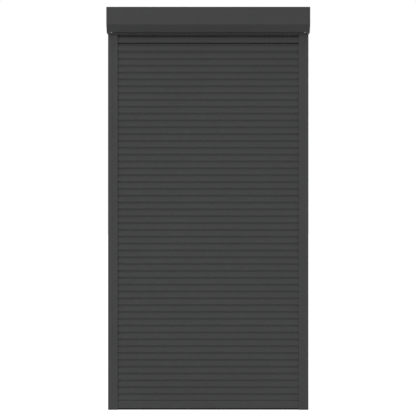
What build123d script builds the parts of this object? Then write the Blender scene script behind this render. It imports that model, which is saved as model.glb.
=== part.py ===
from build123d import *
import os

# Exterior roller shutter: a 45 degree box with its shaft, two guide rails and a slatted curtain.
# X runs across the width, Y from the outside (minus) to the wall (plus), and Z up.
# The origin lies at the foot of the shutter, at mid width and at mid depth of the box.

os.makedirs("parts", exist_ok=True)

# Overall sizes
overall_width = 1100
rail_length = 2050
box_size = 137
running_gap = 0.3
overrun = 5

# Box sheets and end caps
sheet = 1.2
chamfer = 36
cover_lip = 6
cap_plate = 3
cap_rim_width = 14
cap_rim_wall = 3
cap_ledge_reach = 30
cap_ledge_wall = 2
cover_flange = 12
cover_strip = 43
lap = 8
joggle = 1.6
rear_flange = 5.5
inlet_lip_height = 12
inlet_lip_clearance = 3

# Guide rails
rail_width = 53
rail_depth = 22
rail_inset = 2.7
rail_wall = 1.6
channel_depth = 25
channel_width = 12
channel_back_wall = 4.5
chamber_web = 1.8
groove_offset = 2
groove_mouth = 1.8
groove_mouth_depth = 0.8
groove_width = 3
groove_depth = 2.4
seal_clearance = 0.1
front_cell_inset = 8
front_cell_height = 2.3
face_line_width = 0.8
face_line_depth = 0.3
face_line_places = (14.8, 28.4)
foot_cap_height = 6
foot_plug_height = 10
foot_plug_clearance = 0.4
fixing_hole_radius = 2.75
access_hole_radius = 6
fixing_hole_edge = 150
fixing_hole_count = 4

# Curtain slats
slat_cover = 37.4
slat_thickness = 8
slat_end_inset = 42
end_lock_thickness = 3
end_lock_height = 24
nose_setback = 1.2
nose_height = 3
crown_setback = 1.2
crown_height = 26
shoulder_setback = 3.6
shoulder_height = 35.5
pocket_front_wall = 2.6
pocket_rear_wall = 1.4
pocket_depth = 11
pocket_lip = 1
pocket_lip_height = 1.2
neck_thickness = 1.6
head_overhang_front = 0.6
head_overhang_rear = 1
head_height = 1.6
slat_travel = 6.5
first_slat_height = 51
group_slat_count = 3
top_openings = (3.6, 6.5, 5)

# Bottom bar
seal_height = 8
bar_top_height = 49.2
bar_edge_chamfer = 1
bar_wall = 1.5
bar_web_height = 30
seal_body_thickness = 6.8
seal_mouth = 2.4
seal_mouth_depth = 1.2
seal_head = 4
seal_head_depth = 2
bar_floor_height = 13.5
guide_thickness = 8
guide_clearance = 0.5
guide_foot_height = 10
guide_top_height = 48
guide_leg_length = 30

# Inlet funnels on the rails
funnel_height = 32
funnel_throat_gap = 0.6
funnel_flare = 5
funnel_straight = 6
funnel_wall_clearance = 0.5
funnel_leg_length = 20
funnel_leg_thickness = 2.4

# Shaft, bearings and hangers
shaft_side_count = 8
shaft_flats = 40
shaft_wall = 1
shaft_end_gap = 16
plug_clearance = 0.2
plug_depth = 48
plug_collar = 3
pin_radius = 6
pin_reach = 12.5
pin_clearance = 0.05
bearing_width = 8
bearing_inner_radius = 8.6
bearing_outer_radius = 14
bearing_ring_gap = 0.4
seat_depth = 12
seat_radius = 21
seat_back = 2
seat_ear_width = 14
seat_ear_reach = 32
seat_ear_thickness = 4
seat_screw_radius = 2
seat_screw_head_radius = 3.6
seat_screw_head = 2
hanger_width = 30
hanger_thickness = 0.8
hanger_straight = 14.8
hanger_seat = 8
hanger_places_share = (-0.3, 0, 0.3)
hanger_head_gap = 0.2
hanger_hook = 0.6

# Strap pulley and strap guide
pulley_width = 17.5
pulley_flange = 1.5
pulley_guide_gap = 6.5
pulley_core_radius = 26
pulley_side_count = 32
guide_box_height = 34
guide_box_depth = 14
guide_box_gap = 2.5
guide_box_cheek = 1.4
roller_radius = 4
roller_length = 14.8
roller_end_gap = 0.3
roller_spacing = 14.4
roller_pin_radius = 1.5
roller_pin_clearance = 0.05
strap_slot_height = 6.4

# Screws and rivets
fastener_side_count = 10
cover_screw_inset = 27
cover_screw_radius = 1.5
cover_screw_head_radius = 2.8
cover_screw_head = 1.4
cover_screw_length = 10
screw_boss_width = 12
screw_boss_depth = 12
screw_boss_height = 9
screw_clearance = 0.05
tongue_length = 60
tongue_clearance = 0.3
tongue_slot_width = 8
tongue_slot_length = 45
rivet_radius = 2
rivet_inset = 20
rivet_edge = 24
rivet_foot = 14

# Places that follow from the sizes
half_width = overall_width / 2
box_top = rail_length + box_size
box_front = -box_size / 2
wall_y = box_size / 2
rail_outer = half_width - rail_inset
rail_inner = rail_outer - rail_width
rail_front = wall_y - rail_depth
channel_end = rail_inner + channel_depth
curtain_y = wall_y - channel_back_wall - channel_width / 2
shaft_z = rail_length + box_size / 2


def moved_in(points, distance, closed):
    """Each corner of a line or outline, moved to its left by one distance along the mitre."""
    path = [Vector(*point) for point in points]
    last = len(path) - 1
    moved = []
    for place, corner in enumerate(path):
        before = corner - path[place - 1] if place or closed else path[1] - corner
        after = path[(place + 1) % len(path)] - corner if place < last or closed else before
        before, after = before.normalized(), after.normalized()
        left, right = Vector(-before.Y, before.X), Vector(-after.Y, after.X)
        moved.append(corner + (left + right) * (distance / (1 + left.dot(right))))
    return moved


def outline(points):
    """A flat face from the corners of its outline."""
    return make_face(Polyline(*points, close=True))


def sheet_section(points, thickness):
    """The section of a bent sheet whose outer face runs along the points."""
    return outline(points + list(reversed(moved_in(points, thickness, False))))


def prism_x(section, x0, x1):
    """A section drawn in Y and Z, drawn out along X."""
    return Plane.YZ.offset(x0) * extrude(section, x1 - x0)


def block(x0, x1, y0, y1, z0, z1):
    """A block between two corners."""
    return Pos((x0 + x1) / 2, (y0 + y1) / 2, (z0 + z1) / 2) * Box(x1 - x0, y1 - y0, z1 - z0)


def rod_x(radius, x0, x1, y, z):
    """A round bar along X."""
    return Pos((x0 + x1) / 2, y, z) * Rot(0, 90, 0) * Cylinder(radius, x1 - x0)


def rod_y(radius, y0, y1, x, z):
    """A round bar along Y."""
    return Pos(x, (y0 + y1) / 2, z) * Rot(90, 0, 0) * Cylinder(radius, y1 - y0)


def stud_y(radius, y0, y1, x, z):
    """A small fastener or its hole along Y, with ten faces for its round."""
    section = RegularPolygon(radius, fastener_side_count)
    return Pos(x, (y0 + y1) / 2, z) * Rot(90, 0, 0) * extrude(section, (y1 - y0) / 2, both=True)


def stud_x(radius, x0, x1, y, z):
    """A small fastener or clearance hole along X, with ten faces for its round."""
    return Pos(0, y, z) * prism_x(RegularPolygon(radius, fastener_side_count), x0, x1)


def octagon_x(flats, x0, x1):
    """An eight-sided bar along the shaft's axis, with a flat on top."""
    section = RegularPolygon(flats / 2, shaft_side_count, major_radius=False, rotation=180 / shaft_side_count)
    return Pos(0, 0, shaft_z) * prism_x(section, x0, x1)


def mirrored(shape):
    """The same piece for the left side."""
    return mirror(shape, about=Plane.YZ)


parts = {}


def keep(name, *shapes):
    """Store one node as the separate solids that it holds."""
    parts[name] = [solid for shape in shapes for solid in shape.solids()]


# End caps: one cast plate for each side, with the rim that closes the box, the ledge that the
# sheets lie on, the boss of the cover screw and the tongue that plugs into the guide rail.
lip_y = box_front + chamfer
chamfer_foot = rail_length + cover_lip
chamfer_top = chamfer_foot + chamfer
box_outline = [
    (box_front, box_top),
    (box_front, chamfer_top),
    (lip_y, chamfer_foot),
    (lip_y, rail_length),
    (wall_y, rail_length),
    (wall_y, box_top),
]
cap_inner = half_width - cap_plate
rim_end = half_width - cap_rim_width
ledge_end = half_width - cap_ledge_reach
chamber_start = channel_end + chamber_web
chamber_end = rail_outer - rail_wall
chamber_front = rail_front + rail_wall
chamber_back = wall_y - rail_wall
tongue_x0 = chamber_start + tongue_clearance
tongue_x1 = chamber_end - tongue_clearance
tongue_y0 = chamber_front + tongue_clearance
tongue_y1 = chamber_back - tongue_clearance
tongue_middle_x = (tongue_x0 + tongue_x1) / 2
screw_x = half_width - cover_screw_inset
screw_z = rail_length + cover_lip / 2
rivet_x = half_width - rivet_inset
rivet_heights = (rail_length + rivet_foot, box_top - rivet_edge)
pulley_x1 = cap_inner - shaft_end_gap
strap_x = pulley_x1 - pulley_width / 2
guide_z = rail_length + funnel_height + guide_box_gap + guide_box_height / 2
guide_half_width = roller_length / 2 + roller_end_gap + guide_box_cheek
guide_x0 = strap_x - guide_half_width
guide_x1 = strap_x + guide_half_width
guide_y0 = wall_y - guide_box_depth


def end_cap():
    """The right end cap."""
    full = outline(box_outline)
    cap = prism_x(full, cap_inner, half_width)
    cap += prism_x(full - outline(moved_in(box_outline, cap_rim_wall, True)), rim_end, cap_inner)
    ledge = outline(moved_in(box_outline, sheet, True))
    ledge -= outline(moved_in(box_outline, sheet + cap_ledge_wall, True))
    cap += prism_x(ledge, ledge_end, cap_inner)
    boss_y = lip_y + sheet
    cap += block(screw_x - screw_boss_width / 2, cap_inner, boss_y, boss_y + screw_boss_depth,
                 rail_length + sheet, rail_length + screw_boss_height)
    tongue = block(tongue_x0, tongue_x1, tongue_y0, tongue_y1,
                   rail_length - tongue_length, rail_length + cap_rim_wall)
    tongue -= block(tongue_middle_x - tongue_slot_width / 2, tongue_middle_x + tongue_slot_width / 2,
                    tongue_y0 - overrun, tongue_y1 + overrun,
                    rail_length - tongue_length - overrun, rail_length - tongue_length + tongue_slot_length)
    cap += tongue
    cap -= stud_y(cover_screw_radius + screw_clearance, lip_y, lip_y + cover_screw_length + overrun,
                  screw_x, screw_z)
    for height in rivet_heights:
        cap -= stud_y(rivet_radius + screw_clearance, wall_y - cap_ledge_wall - sheet - overrun, wall_y,
                      rivet_x, height)
    return cap


def strap_notch():
    """The room for the strap guide in the right cap's ledge."""
    return block(guide_x0 - running_gap, guide_x1 + running_gap, guide_y0 - running_gap, wall_y,
                 guide_z - guide_box_height / 2 - running_gap, guide_z + guide_box_height / 2 + running_gap)


keep("end_cap_right", end_cap() - strap_notch())
keep("end_cap_left", mirrored(end_cap()))

# Box sheets: an L-shaped back and top panel, a removable front cover with the chamfer,
# and a bottom panel whose raised lip carries the inlet seal.
rail_foot_x = rail_inner - running_gap
cover_end = lip_y + cover_strip
curtain_front = curtain_y - slat_thickness / 2
curtain_back = curtain_y + slat_thickness / 2
inlet_lip_y = curtain_front - inlet_lip_clearance


def rail_notches(y0, y1, z0, z1):
    """The two corners that the rails and their funnels fill."""
    notch = block(rail_foot_x, half_width, y0, y1, z0, z1)
    return notch + mirrored(notch)


def ledge_corners(y0, y1, z0, z1):
    """The two corners that the ledges of the caps fill."""
    corner = block(ledge_end - running_gap, half_width, y0, y1, z0, z1)
    return corner + mirrored(corner)


def box_back_panel():
    """The rear wall and the top in one sheet, with a return flange at the bottom."""
    points = [
        (wall_y - rear_flange, rail_length),
        (wall_y, rail_length),
        (wall_y, box_top),
        (box_front, box_top),
    ]
    panel = prism_x(sheet_section(points, sheet), -rim_end, rim_end)
    panel -= rail_notches(wall_y - rear_flange - overrun, wall_y - sheet,
                          rail_length - overrun, rail_length + sheet + overrun)
    panel -= strap_notch()
    for height in rivet_heights:
        hole = stud_y(rivet_radius + screw_clearance, wall_y - sheet - overrun, wall_y + overrun,
                      rivet_x, height)
        panel -= hole + mirrored(hole)
    return panel


def front_cover():
    """The front face, the chamfer and the bottom strip in one removable sheet."""
    under_top = box_top - sheet
    points = [
        (box_front + cover_flange, under_top),
        (box_front, under_top),
        (box_front, chamfer_top),
        (lip_y, chamfer_foot),
        (lip_y, rail_length),
        (cover_end, rail_length),
    ]
    cover = prism_x(sheet_section(points, sheet), -rim_end, rim_end)
    cover -= ledge_corners(box_front + sheet, wall_y, under_top - sheet, box_top)
    hole = stud_y(cover_screw_radius + screw_clearance, lip_y - overrun, lip_y + sheet + overrun,
                  screw_x, screw_z)
    return cover - (hole + mirrored(hole))


def box_bottom_panel():
    """The strip behind the cover, lapped over it and turned up beside the curtain."""
    points = [
        (cover_end - lap, rail_length + sheet),
        (cover_end + running_gap, rail_length + sheet),
        (cover_end + running_gap + joggle, rail_length),
        (inlet_lip_y, rail_length),
        (inlet_lip_y, rail_length + inlet_lip_height),
    ]
    panel = prism_x(sheet_section(points, sheet), -rim_end, rim_end)
    panel -= rail_notches(rail_front - running_gap, wall_y, rail_length - overrun,
                          rail_length + inlet_lip_height + overrun)
    return panel - ledge_corners(box_front, rail_front, rail_length + sheet, box_top)


keep("box_back_panel", box_back_panel())
keep("front_cover", front_cover())
keep("box_bottom_panel", box_bottom_panel())
keep("inlet_seal", block(-rail_foot_x, rail_foot_x, inlet_lip_y, curtain_front - running_gap,
                         rail_length + sheet, rail_length + inlet_lip_height))


def panel_rivets():
    """Flush rivets from the back panel into the ledges of the caps."""
    rivets = [stud_y(rivet_radius, wall_y - sheet - cap_ledge_wall, wall_y, rivet_x, height)
              for height in rivet_heights]
    return rivets + [mirrored(rivet) for rivet in rivets]


def cover_screw():
    """The bright pan-head screw at the low front edge of the cover."""
    screw = stud_y(cover_screw_head_radius, lip_y - cover_screw_head, lip_y, screw_x, screw_z)
    return screw + stud_y(cover_screw_radius, lip_y, lip_y + cover_screw_length, screw_x, screw_z)


keep("panel_rivets", *panel_rivets())
keep("cover_screws", cover_screw(), mirrored(cover_screw()))

# Guide rails: aluminium extrusions with the curtain's channel on the inner side, a screw chamber
# on the outer side, two undercut grooves for the seals and two fine lines on the front face.
channel_front = curtain_y - channel_width / 2
channel_back = curtain_y + channel_width / 2
groove_x0 = rail_inner + groove_offset
groove_x1 = groove_x0 + groove_width
mouth_x0 = groove_x0 + (groove_width - groove_mouth) / 2
mouth_x1 = mouth_x0 + groove_mouth


def rectangle(x0, x1, y0, y1):
    """A rectangle in the plan view."""
    return outline([(x0, y0), (x1, y0), (x1, y1), (x0, y1)])


def groove(face_y, way):
    """An undercut groove for a seal, cut from the channel's face towards the front or the back."""
    waist = face_y + way * groove_mouth_depth
    floor = face_y + way * groove_depth
    mouth = rectangle(mouth_x0, mouth_x1, min(face_y, waist), max(face_y, waist))
    return mouth + rectangle(groove_x0, groove_x1, min(waist, floor), max(waist, floor))


def guide_rail():
    """The right guide rail."""
    section = rectangle(rail_inner, rail_outer, rail_front, wall_y)
    section -= rectangle(rail_inner - overrun, channel_end, channel_front, channel_back)
    section -= rectangle(chamber_start, chamber_end, chamber_front, chamber_back)
    section -= groove(channel_front, -1) + groove(channel_back, 1)
    section -= rectangle(rail_inner + front_cell_inset, channel_end, chamber_front,
                         chamber_front + front_cell_height)
    for place in face_line_places:
        middle = rail_inner + place + face_line_width
        section -= outline([(middle - face_line_width, rail_front), (middle, rail_front + face_line_depth),
                            (middle + face_line_width, rail_front)])
    rail = Pos(0, 0, foot_cap_height) * extrude(section, rail_length - foot_cap_height)
    step = (rail_length - 2 * fixing_hole_edge) / (fixing_hole_count - 1)
    for number in range(fixing_hole_count):
        height = fixing_hole_edge + number * step
        rail -= rod_x(fixing_hole_radius, chamber_end - overrun, rail_outer + overrun, curtain_y, height)
        rail -= stud_x(access_hole_radius, channel_end - overrun, chamber_start + overrun, curtain_y, height)
    return rail


def rail_seal(face_y, way):
    """A sealing strip: its foot in the groove and its lip almost on the slats."""
    waist = face_y + way * (groove_mouth_depth + seal_clearance)
    floor = face_y + way * (groove_depth - seal_clearance)
    tip = curtain_y + way * (slat_thickness / 2 + running_gap)
    foot = rectangle(groove_x0 + seal_clearance, groove_x1 - seal_clearance,
                     min(waist, floor), max(waist, floor))
    lip = rectangle(mouth_x0 + seal_clearance, mouth_x1 - seal_clearance, min(tip, waist), max(tip, waist))
    return Pos(0, 0, foot_cap_height) * extrude(foot + lip, rail_length - foot_cap_height)


def rail_foot_cap():
    """The plastic cap that closes the foot of a rail, with a plug in the screw chamber."""
    cap = block(rail_inner, rail_outer, rail_front, wall_y, 0, foot_cap_height)
    return cap + block(chamber_start + foot_plug_clearance, chamber_end - foot_plug_clearance,
                       chamber_front + foot_plug_clearance, chamber_back - foot_plug_clearance,
                       foot_cap_height, foot_cap_height + foot_plug_height)


def rail_funnel():
    """The inlet funnel: a plastic block on the rail's top, with a slot that flares to the front."""
    throat = slat_thickness / 2 + funnel_throat_gap
    x0 = rail_inner + funnel_wall_clearance
    x1 = channel_end - funnel_wall_clearance
    top = rail_length + funnel_height
    funnel = block(x0, x1, rail_front, channel_back + funnel_wall_clearance, rail_length, top)
    slot = outline([
        (curtain_y - throat, rail_length - overrun),
        (curtain_y + throat, rail_length - overrun),
        (curtain_y + throat, top + overrun),
        (curtain_y - throat - funnel_flare, top + overrun),
        (curtain_y - throat - funnel_flare, top),
        (curtain_y - throat, rail_length + funnel_straight),
    ])
    slot_end = channel_end - funnel_leg_thickness - 2 * funnel_wall_clearance
    funnel -= prism_x(slot, x0 - overrun, slot_end)
    return funnel + block(x1 - funnel_leg_thickness, x1, channel_front + funnel_wall_clearance,
                          channel_back - funnel_wall_clearance, rail_length - funnel_leg_length, rail_length)


pairs = {
    "guide_rail": guide_rail(),
    "rail_seal_front": rail_seal(channel_front, -1),
    "rail_seal_rear": rail_seal(channel_back, 1),
    "rail_foot_cap": rail_foot_cap(),
    "rail_funnel": rail_funnel(),
}
for name, piece in pairs.items():
    keep(name + "_right", piece)
    keep(name + "_left", mirrored(piece))

# Curtain: slats that hook into each other. The head on top of each slat slides in the pocket of
# the one above, so a joint can open by the slats' travel. The two top joints hang open.
slat_half_length = half_width - slat_end_inset
head_bottom = slat_cover + pocket_lip_height + slat_travel
neck_front = curtain_front + shoulder_setback
neck_back = neck_front + neck_thickness


def tongue_points(base):
    """The hook on top of a slat or bar whose joint line lies at the base height."""
    head = base + head_bottom - slat_cover
    return [
        (neck_front, head),
        (neck_front - head_overhang_front, head),
        (neck_front - head_overhang_front, head + head_height),
        (neck_back + head_overhang_rear, head + head_height),
        (neck_back + head_overhang_rear, head),
        (neck_back, head),
        (neck_back, base - running_gap),
        (curtain_back, base - running_gap),
    ]


def slat(base):
    """One slat: a crowned front, a rounded nose over the joint below, a pocket and a hook."""
    nose = (curtain_front, base + nose_height)
    nose_foot = (curtain_front + nose_setback, base)
    crown_end = (curtain_front + crown_setback, base + crown_height)
    shoulder = (neck_front, base + shoulder_height)
    crown = TangentArc(nose, crown_end, tangent=(0, 1))
    pocket_front = curtain_front + pocket_front_wall
    pocket_back = curtain_back - pocket_rear_wall
    section = make_face([
        TangentArc(nose, nose_foot, tangent=(0, -1)),
        crown,
        TangentArc(crown_end, shoulder, tangent=crown % 1),
        Polyline(shoulder, *tongue_points(base + slat_cover),
                 (curtain_back, base), (pocket_back - pocket_lip, base),
                 (pocket_back - pocket_lip, base + pocket_lip_height),
                 (pocket_back, base + pocket_lip_height), (pocket_back, base + pocket_depth),
                 (pocket_front, base + pocket_depth), (pocket_front, base), nose_foot),
    ])
    return prism_x(section, -slat_half_length, slat_half_length)


def end_lock(base):
    """The plastic lock on a slat's end that keeps it from creeping sideways."""
    middle = base + (pocket_depth + crown_height) / 2
    return block(slat_half_length, slat_half_length + end_lock_thickness, curtain_front + crown_setback,
                 curtain_back, middle - end_lock_height / 2, middle + end_lock_height / 2)


closed_count = int((rail_length - first_slat_height - sum(top_openings)) / slat_cover) - len(top_openings)
slat_bases = [first_slat_height]
for opening in [0] * closed_count + list(top_openings):
    slat_bases.append(slat_bases[-1] + slat_cover + opening)
slat_bases.reverse()
for first in range(0, len(slat_bases), group_slat_count):
    bases = slat_bases[first:first + group_slat_count]
    lock = end_lock(bases[len(bases) // 2])
    keep(f"slats_{first // group_slat_count + 1:02d}", *[slat(base) for base in bases], lock, mirrored(lock))

# Bottom bar: a hollow extrusion with the slats' hook on top, a rubber seal in its foot groove and
# plastic guides plugged into its ends. The guides stop the curtain at the funnels when it is up.
bar_chamber_front = curtain_front + bar_wall
bar_chamber_back = curtain_back - bar_wall
bar_chamber_top = bar_top_height - bar_wall


def bottom_bar():
    """The bar that carries the seal."""
    section = outline([
        (curtain_front, seal_height),
        (curtain_front, bar_top_height - bar_edge_chamfer),
        (curtain_front + bar_edge_chamfer, bar_top_height),
        (neck_front, bar_top_height),
        *tongue_points(first_slat_height),
        (curtain_back, seal_height),
    ])
    section -= rectangle(bar_chamber_front, bar_chamber_back, bar_floor_height, bar_web_height)
    section -= rectangle(bar_chamber_front, bar_chamber_back, bar_web_height + bar_wall, bar_chamber_top)
    section -= rectangle(curtain_y - seal_mouth / 2, curtain_y + seal_mouth / 2,
                         seal_height, seal_height + seal_mouth_depth)
    section -= rectangle(curtain_y - seal_head / 2, curtain_y + seal_head / 2, seal_height + seal_mouth_depth,
                         seal_height + seal_mouth_depth + seal_head_depth)
    return prism_x(section, -slat_half_length, slat_half_length)


def bottom_seal():
    """The black rubber strip between the rails, held in the bar's groove."""
    half_mouth = seal_mouth / 2 - seal_clearance
    half_head = seal_head / 2 - seal_clearance
    head_foot = seal_height + seal_mouth_depth + seal_clearance
    head_top = seal_height + seal_mouth_depth + seal_head_depth - seal_clearance
    section = rectangle(curtain_y - seal_body_thickness / 2, curtain_y + seal_body_thickness / 2,
                        0, seal_height)
    section += rectangle(curtain_y - half_mouth, curtain_y + half_mouth, seal_height, head_foot)
    section += rectangle(curtain_y - half_head, curtain_y + half_head, head_foot, head_top)
    return prism_x(section, -rail_foot_x, rail_foot_x)


def bar_end_guide():
    """A plastic guide that runs in the channel, with a leg in the bar's lower chamber."""
    x1 = slat_half_length + guide_thickness
    guide = block(slat_half_length, x1, channel_front + guide_clearance, channel_back - guide_clearance,
                  guide_foot_height, guide_top_height)
    return guide + block(slat_half_length - guide_leg_length, slat_half_length,
                         bar_chamber_front + seal_clearance, bar_chamber_back - seal_clearance,
                         bar_floor_height + seal_clearance, bar_web_height - seal_clearance)


keep("bottom_bar", bottom_bar())
keep("bottom_seal", bottom_seal())
keep("bar_end_guides", bar_end_guide(), mirrored(bar_end_guide()))

# Shaft: an octagonal steel tube with a pin plug in each end, carried by sealed ball bearings in
# plastic seats on the caps, and joined to the top slat by three spring-steel hangers.
shaft_end = pulley_x1
bearing_x0 = cap_inner - seat_back - bearing_width
bearing_x1 = cap_inner - seat_back


def shaft_plug():
    """The plug in the right end of the tube, with its collar and pin."""
    bore = shaft_flats - 2 * shaft_wall
    plug = octagon_x(bore - 2 * plug_clearance, shaft_end - plug_depth, shaft_end)
    plug += octagon_x(shaft_flats, shaft_end, shaft_end + plug_collar)
    return plug + rod_x(pin_radius - pin_clearance, shaft_end, shaft_end + pin_reach, 0, shaft_z)


def bearing_inner_ring():
    """The ring that turns with the pin."""
    ring = rod_x(bearing_inner_radius, bearing_x0, bearing_x1, 0, shaft_z)
    return ring - rod_x(pin_radius, bearing_x0 - overrun, bearing_x1 + overrun, 0, shaft_z)


def bearing_outer_ring():
    """The ring in the seat, closed by the shields that hide the balls."""
    ring = rod_x(bearing_outer_radius, bearing_x0, bearing_x1, 0, shaft_z)
    return ring - rod_x(bearing_inner_radius + bearing_ring_gap, bearing_x0 - overrun, bearing_x1 + overrun,
                        0, shaft_z)


def bearing_seat():
    """The eight-sided plastic seat on the cap's inner face, with two ears for its screws."""
    x0 = cap_inner - seat_depth
    seat = octagon_x(2 * seat_radius, x0, cap_inner)
    seat += block(cap_inner - seat_ear_thickness, cap_inner, -seat_ear_width / 2, seat_ear_width / 2,
                  shaft_z - seat_ear_reach, shaft_z + seat_ear_reach)
    return seat - rod_x(bearing_outer_radius + screw_clearance, x0 - overrun, bearing_x1, 0, shaft_z)


seat_screw_places = [shaft_z + way * (seat_ear_reach - seat_ear_width / 2) for way in (-1, 1)]


def seat_screws():
    """The two screws through the ears of a seat into the cap."""
    screws = []
    for height in seat_screw_places:
        head_x = cap_inner - seat_ear_thickness
        screw = stud_x(seat_screw_head_radius, head_x - seat_screw_head, head_x, 0, height)
        screws.append(screw + stud_x(seat_screw_radius, head_x, cap_inner, 0, height))
    return screws


def drilled_seat():
    """The seat with the holes of its screws."""
    seat = bearing_seat()
    for height in seat_screw_places:
        seat -= stud_x(seat_screw_radius + screw_clearance, cap_inner - seat_depth, cap_inner + overrun,
                       0, height)
    return seat


hanger_rear = neck_front - head_overhang_front - hanger_head_gap
top_head = slat_bases[0] + head_bottom
hook_top = top_head - hanger_head_gap


def hanger(x):
    """A spring strip from the shaft's top flat, bent down and hooked under the top slat's head."""
    low = shaft_z + shaft_flats / 2
    high = low + hanger_thickness
    bend_y = hanger_straight
    outer = hanger_rear - hanger_straight
    inner = outer - hanger_thickness
    slope_share = 0.5 ** 0.5
    bend_z = high - outer
    front = hanger_rear - hanger_thickness
    section = make_face([
        Polyline((bend_y, low), (-hanger_seat, low), (-hanger_seat, high), (bend_y, high)),
        ThreePointArc((bend_y, high), (bend_y + outer * slope_share, bend_z + outer * slope_share),
                      (hanger_rear, bend_z)),
        Polyline((hanger_rear, bend_z), (hanger_rear, hook_top), (hanger_rear + hanger_hook, hook_top),
                 (hanger_rear + hanger_hook, hook_top - hanger_thickness),
                 (front, hook_top - hanger_thickness), (front, bend_z)),
        ThreePointArc((front, bend_z), (bend_y + inner * slope_share, bend_z + inner * slope_share),
                      (bend_y, low)),
    ])
    return prism_x(section, x - hanger_width / 2, x + hanger_width / 2)


keep("roller_shaft", octagon_x(shaft_flats, -shaft_end, shaft_end)
     - octagon_x(shaft_flats - 2 * shaft_wall, -shaft_end - overrun, shaft_end + overrun))
keep("shaft_plugs", shaft_plug(), mirrored(shaft_plug()))
keep("bearing_inner_rings", bearing_inner_ring(), mirrored(bearing_inner_ring()))
keep("bearing_outer_rings", bearing_outer_ring(), mirrored(bearing_outer_ring()))
keep("bearing_seats", drilled_seat(), mirrored(drilled_seat()))
keep("seat_screws", *seat_screws(), *[mirrored(screw) for screw in seat_screws()])
keep("curtain_hangers", *[hanger(share * overall_width) for share in hanger_places_share])

# Strap drive: a flanged pulley on the right end of the shaft, and a guide in the rear wall where
# the strap would leave between two small rollers.


def disc(radius, x0, x1):
    """A moulded disc on the shaft's axis, with 32 flats for its round."""
    return Pos(0, 0, shaft_z) * prism_x(RegularPolygon(radius, pulley_side_count), x0, x1)


def strap_pulley():
    """The pulley: two flanges on a core that fits the tube."""
    x0 = pulley_x1 - pulley_width
    pulley_radius = guide_y0 - pulley_guide_gap
    pulley = disc(pulley_core_radius, x0, pulley_x1)
    pulley += disc(pulley_radius, x0, x0 + pulley_flange)
    pulley += disc(pulley_radius, pulley_x1 - pulley_flange, pulley_x1)
    return pulley - octagon_x(shaft_flats + 2 * screw_clearance, x0 - overrun, pulley_x1 + overrun)


roller_y = wall_y - guide_box_depth / 2
roller_heights = {"lower": guide_z - roller_spacing / 2, "upper": guide_z + roller_spacing / 2}


def strap_guide_box():
    """The plastic housing in the rear wall, open from front to back, with a moulded pin for each roller."""
    housing = block(guide_x0, guide_x1, guide_y0, wall_y,
                    guide_z - guide_box_height / 2, guide_z + guide_box_height / 2)
    half_room = roller_length / 2 + roller_end_gap
    housing -= block(strap_x - half_room, strap_x + half_room, guide_y0 - overrun, wall_y + overrun,
                     guide_z - strap_slot_height / 2, guide_z + strap_slot_height / 2)
    for height in roller_heights.values():
        room = roller_radius + running_gap
        housing -= block(strap_x - half_room, strap_x + half_room, roller_y - room, roller_y + room,
                         height - room, height + room)
        housing += rod_x(roller_pin_radius, strap_x - half_room, strap_x + half_room, roller_y, height)
    return housing


def strap_roller(height):
    """A small roller that turns on its pin."""
    roller = rod_x(roller_radius, strap_x - roller_length / 2, strap_x + roller_length / 2, roller_y, height)
    return roller - rod_x(roller_pin_radius + roller_pin_clearance, strap_x - roller_length,
                          strap_x + roller_length, roller_y, height)


keep("strap_pulley", strap_pulley())
keep("strap_guide_box", strap_guide_box())
for place, height in roller_heights.items():
    keep("strap_roller_" + place, strap_roller(height))

for name, solids in parts.items():
    export_step(Compound(children=solids), f"parts/{name}.step")
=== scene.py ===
from math import pi, radians

import bpy
import numpy as np
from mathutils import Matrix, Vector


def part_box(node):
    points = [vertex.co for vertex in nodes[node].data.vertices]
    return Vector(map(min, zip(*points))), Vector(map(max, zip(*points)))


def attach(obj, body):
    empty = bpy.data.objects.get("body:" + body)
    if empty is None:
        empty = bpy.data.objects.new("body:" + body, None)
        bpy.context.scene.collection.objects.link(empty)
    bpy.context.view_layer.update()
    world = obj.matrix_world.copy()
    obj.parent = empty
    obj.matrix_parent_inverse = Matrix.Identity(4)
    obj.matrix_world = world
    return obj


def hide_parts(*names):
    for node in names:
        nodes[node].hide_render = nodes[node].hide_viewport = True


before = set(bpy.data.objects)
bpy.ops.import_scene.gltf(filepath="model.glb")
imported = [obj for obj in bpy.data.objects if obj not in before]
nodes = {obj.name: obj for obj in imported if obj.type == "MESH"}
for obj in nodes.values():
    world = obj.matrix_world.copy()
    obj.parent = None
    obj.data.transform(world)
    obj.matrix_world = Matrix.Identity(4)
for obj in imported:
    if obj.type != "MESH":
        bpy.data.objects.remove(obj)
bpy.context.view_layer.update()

mm = 0.001

# The studio: a white floor in white surroundings, two soft lamps ahead of the shutter, one behind it, one on
# each side and one from below for the light that a bright floor throws up, and the camera nine metres away.
# A lamp's four values are its height, its side and its spread in degrees, and its power.
camera_place = (-0.00135, -9.0685, 1.1022)
camera_lens = 144.45
sensor_width = 36
floor_drop = 0.5 * mm
floor_reach = 60.0
floor_colour = (0.6, 0.6, 0.6, 1)
floor_glow = 0.9
surroundings_light = 0.24
white = (1, 1, 1, 1)
lamps = {
    "light_ahead": (-1, -10, 26, 1.15),
    "light_wide": (0, -12, 90, 0.4),
    "light_below": (-55, -12, 60, 1.2),
    "light_behind": (12, 170, 110, 0.7),
    "light_left": (10, -105, 50, 0.6),
    "light_right": (10, 105, 50, 0.6),
}


def seen_directly(tree):
    """1 for rays from the camera and for those in mirrors and glass, and 0 for the rest."""
    path = tree.nodes.new("ShaderNodeLightPath")
    total = path.outputs["Is Camera Ray"]
    for kind in ("Is Glossy Ray", "Is Transmission Ray"):
        either = tree.nodes.new("ShaderNodeMath")
        either.operation = "MAXIMUM"
        tree.links.new(total, either.inputs[0])
        tree.links.new(path.outputs[kind], either.inputs[1])
        total = either.outputs[0]
    return total


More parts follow.
